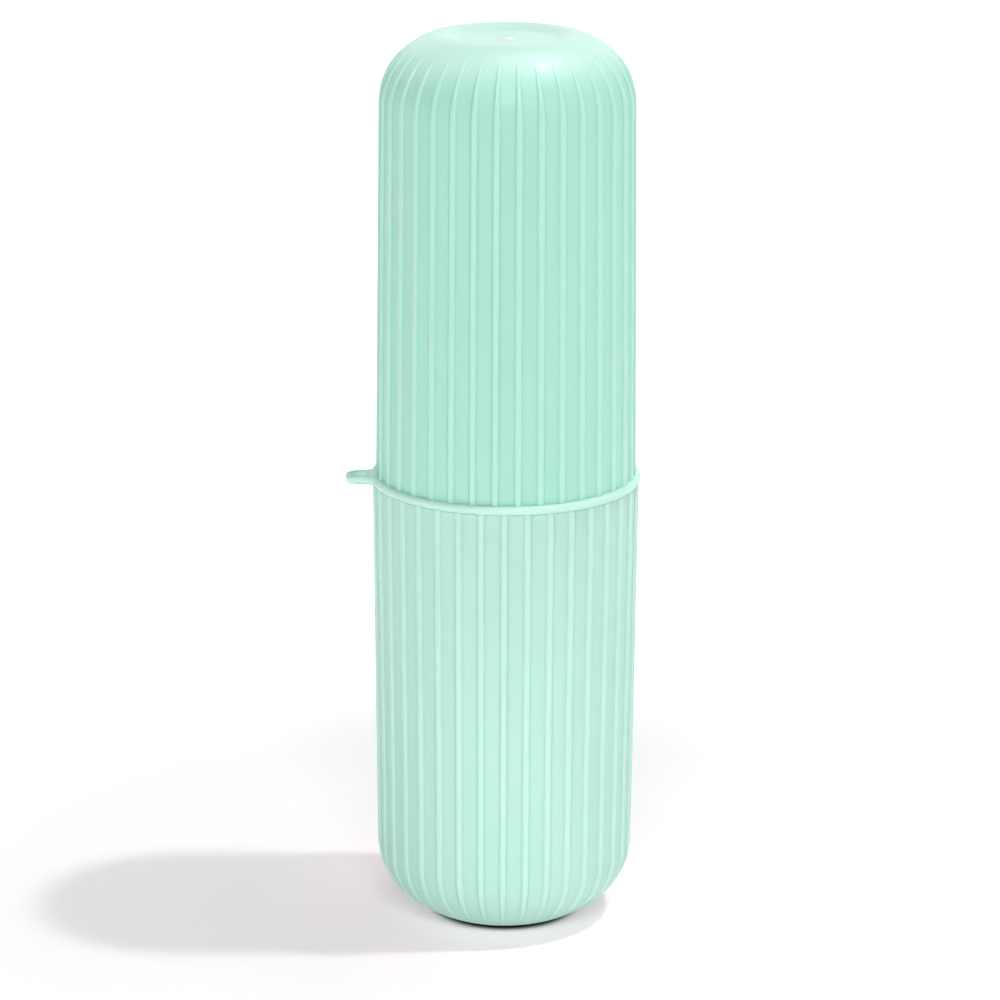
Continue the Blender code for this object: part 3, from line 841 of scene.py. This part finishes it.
# Floor and light. White paper lies under the case and fades to plain white away from it. A painted
# contact shadow darkens it just under the foot, and a painted pinkish glow brightens it round the
# foot. One small lamp high on the right draws the shadow, soft boxes and walls fill in from the
# front, the back and above, a low card lights the foot, and a pale sky lights the rest.
FLOOR_HALF_WIDTH = 4.0
FLOOR_COLOUR = (0.95, 0.95, 0.95, 1)
# Pinkish paper near the case, painted to cancel the green light the case bounces onto it.
FLOOR_COLOUR_NEAR = (0.97, 0.88, 0.92, 1)
# Painted contact shadow: a near-black disc on the paper under the foot's edge.
CONTACT_SHADOW_COLOUR = (0.04, 0.04, 0.04, 1)
# Painted glow of the paper round the foot, brighter and pinkish, seen only by camera and glossy
# rays.
FLOOR_GLOW_NEAR = (0.30, 0.26, 0.27)
FLOOR_LIFT = 0.235
PAPER_GRAIN_SCALE = 400.0
PAPER_GRAIN_DETAIL = 3.0
PAPER_GRAIN_DEPTH = 0.00002
PAPER_GRAIN_STRENGTH = 0.1
# Distances from the axis between which each change on the paper happens.
CONTACT_SHADOW_RANGE = (0.0155, 0.0176)
CONTACT_SHADOW_LIFT_RANGE = (0.0165, 0.019)
GLOW_RANGE = (0.03, 0.07)
FLOOR_TINT_RANGE = (0.03, 0.11)
LIFT_RANGE = (0.11, 0.30)
SKY_COLOUR = (1.0, 0.985, 0.985, 1)
SKY_TURN_RANGE = (0.2, 0.5)
SKY_LEVELS = (1.4, 0.0)
WHITE = (1, 1, 1, 1)
PAPER_RAYS = ("Is Camera Ray", "Is Glossy Ray")
SKY_RAYS = (*PAPER_RAYS, "Is Transmission Ray")
CASE_MIDDLE = (0, 0, LID_MOUTH)
FOOT_CORNER = (0, 0, 0.012)
# Lamps: name, direction from the point it lights, distance, size, watts, shape, that point.
LAMPS = (
    ("key_lamp", (0.351, -0.0276, 0.936), 1.7, (0.085, 0.085), 8.6, "DISK", CASE_MIDDLE),
    ("fill_box", (-0.05, -0.79, 0.61), 1.6, (0.6, 0.34), 6.8, "RECTANGLE", CASE_MIDDLE),
    ("back_box", (0.05, 0.93, 0.37), 1.6, (1.4, 0.5), 1.8, "RECTANGLE", CASE_MIDDLE),
    ("top_box", (0.24, 0.16, 0.96), 1.5, (0.9, 0.7), 5.0, "RECTANGLE", CASE_MIDDLE),
    ("front_wall", (-0.9, -1, 0.08), 1.5, (1.6, 0.4), 1.6, "RECTANGLE", CASE_MIDDLE),
    ("low_card", (0.05, -1, 0), 0.13, (0.3, 0.02), 0.038, "RECTANGLE", FOOT_CORNER),
)

floor_mesh = bpy.data.meshes.new("floor")
half = FLOOR_HALF_WIDTH
floor_mesh.from_pydata(
    [(-half, -half, 0), (half, -half, 0), (half, half, 0), (-half, half, 0)], [], [(0, 1, 2, 3)]
)
floor = bpy.data.objects.new("floor", floor_mesh)
scene.collection.objects.link(floor)


def seen_by(tree, ray_kinds):
    """1 for the rays named, and 0 for those that carry light around."""
    rays = add_node(tree, "ShaderNodeLightPath").outputs
    seen = rays[ray_kinds[0]]
    for kind in ray_kinds[1:]:
        seen = math_of(tree, "MAXIMUM", seen, rays[kind])
    return seen


paper = new_material("floor_paper")
tree = paper.node_tree
floor_place = add_node(tree, "ShaderNodeTexCoord").outputs["Object"]
distance = add_node(tree, "ShaderNodeVectorMath", {0: floor_place}, operation="LENGTH")
distance = distance.outputs["Value"]
paper_grain = add_node(tree, "ShaderNodeTexNoise", {
    "Vector": floor_place, "Scale": PAPER_GRAIN_SCALE, "Detail": PAPER_GRAIN_DETAIL,
})
paper_bump = add_node(tree, "ShaderNodeBump", {
    "Height": paper_grain.outputs["Fac"],
    "Distance": PAPER_GRAIN_DEPTH,
    "Strength": PAPER_GRAIN_STRENGTH,
})
# Painted tint: pinkish near the case, cancelling the green bounce light from the case.
away = smooth_ramp(tree, distance, *FLOOR_TINT_RANGE)
paper_colour = mixed_colour(tree, away, FLOOR_COLOUR_NEAR, FLOOR_COLOUR)
# Painted shadow: the paper turns near black just under the foot's edge.
outside_contact_shadow = smooth_ramp(tree, distance, *CONTACT_SHADOW_RANGE)
paper_colour = mixed_colour(tree, outside_contact_shadow, CONTACT_SHADOW_COLOUR, paper_colour)
paper_shader = add_node(tree, "ShaderNodeBsdfDiffuse", {
    "Color": paper_colour, "Normal": paper_bump.outputs["Normal"],
})
lift = smooth_ramp(tree, distance, *LIFT_RANGE, FLOOR_LIFT, 1.0)
# The lift and glow fall to nothing under the foot, to keep the painted contact shadow dark.
clear = smooth_ramp(tree, distance, *CONTACT_SHADOW_LIFT_RANGE)
shown = seen_by(tree, PAPER_RAYS)
lift = math_of(tree, "MULTIPLY", math_of(tree, "MULTIPLY", shown, lift), clear)
# Painted light: near the case the paper glows brighter and pinkish, a pool of light round the foot.
painted_glow_near = (*(channel / FLOOR_LIFT for channel in FLOOR_GLOW_NEAR), 1)
lift_and_painted_glow_colour = mixed_colour(tree, smooth_ramp(tree, distance, *GLOW_RANGE), painted_glow_near, WHITE)
paper_lift = add_node(tree, "ShaderNodeEmission", {"Color": lift_and_painted_glow_colour, "Strength": lift})
paper_sum = add_node(tree, "ShaderNodeAddShader", {
    0: paper_shader.outputs["BSDF"], 1: paper_lift.outputs["Emission"],
})
add_node(tree, "ShaderNodeOutputMaterial", {"Surface": paper_sum.outputs["Shader"]})
floor_mesh.materials.append(paper)

world = bpy.data.worlds.new("studio")
scene.world = world
world.use_nodes = True
tree = world.node_tree
tree.nodes.clear()
shown = seen_by(tree, SKY_RAYS)
white = add_node(tree, "ShaderNodeBackground", {"Color": WHITE, "Strength": 1.0})
ray = add_node(tree, "ShaderNodeTexCoord").outputs["Generated"]
upward = add_node(tree, "ShaderNodeSeparateXYZ", {"Vector": ray}).outputs["Z"]
level = smooth_ramp(tree, upward, *SKY_TURN_RANGE, *SKY_LEVELS)
sky = add_node(tree, "ShaderNodeBackground", {"Color": SKY_COLOUR, "Strength": level})
choice = add_node(tree, "ShaderNodeMixShader", {
    0: shown, 1: sky.outputs["Background"], 2: white.outputs["Background"],
})
add_node(tree, "ShaderNodeOutputWorld", {"Surface": choice.outputs["Shader"]})

for name, direction, distance, size, watts, shape, aim in LAMPS:
    lamp = bpy.data.objects.new(name, bpy.data.lights.new(name, "AREA"))
    lamp.data.shape = shape
    lamp.data.size, lamp.data.size_y = size
    lamp.data.energy = watts
    lamp.visible_camera = False
    towards = Vector(direction).normalized()
    facing = towards.to_track_quat("Z", "Y").to_matrix().to_4x4()
    lamp.matrix_world = Matrix.Translation(Vector(aim) + towards * distance) @ facing
    scene.collection.objects.link(lamp)
